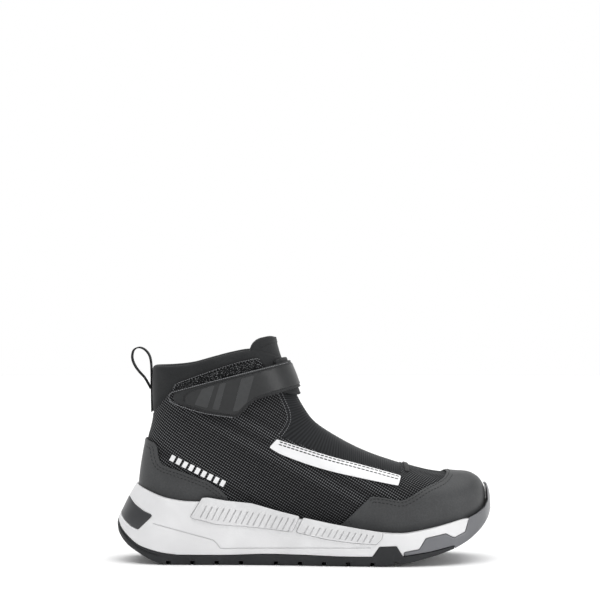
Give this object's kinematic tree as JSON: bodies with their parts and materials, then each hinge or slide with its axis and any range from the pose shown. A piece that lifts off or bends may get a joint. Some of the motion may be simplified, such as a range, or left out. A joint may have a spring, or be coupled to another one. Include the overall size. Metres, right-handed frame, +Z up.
{
  "type": "riding shoe",
  "caption": "Mid-height laceless riding shoe for the right foot, with an ankle strap that peels open, a heel pull loop and a cup sole with ribbed side rails.",
  "frame": {"origin": "on the ground, under the middle of the shoe's length and width", "axes": "+X towards the toe, +Y towards the inner side, +Z up; the outer side faces -Y"},
  "size_m": [0.2986, 0.1102, 0.179],
  "materials": {
    "outsole_rubber": "matte",
    "midsole_foam": "satin",
    "bumper": "satin",
    "heel_inlay": "satin",
    "side_rail": "satin",
    "shank_steel": "satin",
    "board": "matte",
    "footbed_fabric": "matte",
    "woven_mesh": "matte",
    "stretch_knit": "matte",
    "collar_knit": "matte",
    "lining": "matte",
    "padding": "matte",
    "stiffener": "matte",
    "cover_leather": "satin",
    "reflective": "satin",
    "loop_pile": "matte",
    "strap_skin": "satin",
    "strap_print": "satin",
    "webbing": "matte"
  },
  "bodies": {
    "shoe": {"outsole": "outsole_rubber", "midsole": "midsole_foam", "toe_bumper": "bumper", "heel_band": "heel_inlay", "side_rail_lateral_rear": "side_rail", "side_rail_lateral_front": "side_rail", "side_rail_medial_rear": "side_rail", "side_rail_medial_front": "side_rail", "shank": "shank_steel", "insole_board": "board", "footbed": "footbed_fabric", "quarter_lateral": "woven_mesh", "quarter_medial": "woven_mesh", "instep_gusset": "stretch_knit", "ankle_collar": "collar_knit", "lining_bootie": "lining", "collar_foam": "padding", "tongue_tab": "collar_knit", "heel_counter": "stiffener", "toe_puff": "stiffener", "ankle_pad_lateral": "stiffener", "ankle_pad_medial": "stiffener", "toe_cap": "cover_leather", "heel_cover": "cover_leather", "reflective_stripe_lateral": "reflective", "reflective_stripe_medial": "reflective", "loop_pile_field": "loop_pile", "instep_pad": "strap_skin", "strap_base": "strap_skin", "pull_loop_tape": "webbing"},
    "strap_end": {"strap_flap": "strap_skin", "strap_patch": "strap_print", "hook_pad": "loop_pile"},
    "heel_loop": {"pull_loop": "webbing"}
  },
  "joints": [
    {"name": "strap_open", "type": "hinge", "parent": "shoe", "child": "strap_end", "pos_m": [-0.0245, -0.0345, 0.148], "axis": [-0.3, 0, 0.9539], "range_deg": [0, 140]},
    {"name": "pull_loop_swing", "type": "hinge", "parent": "shoe", "child": "heel_loop", "pos_m": [-0.1232, 0, 0.1375], "axis": [0, -1, 0], "range_deg": [0, 80], "stiffness_Nm_per_rad": 0.006}
  ]
}
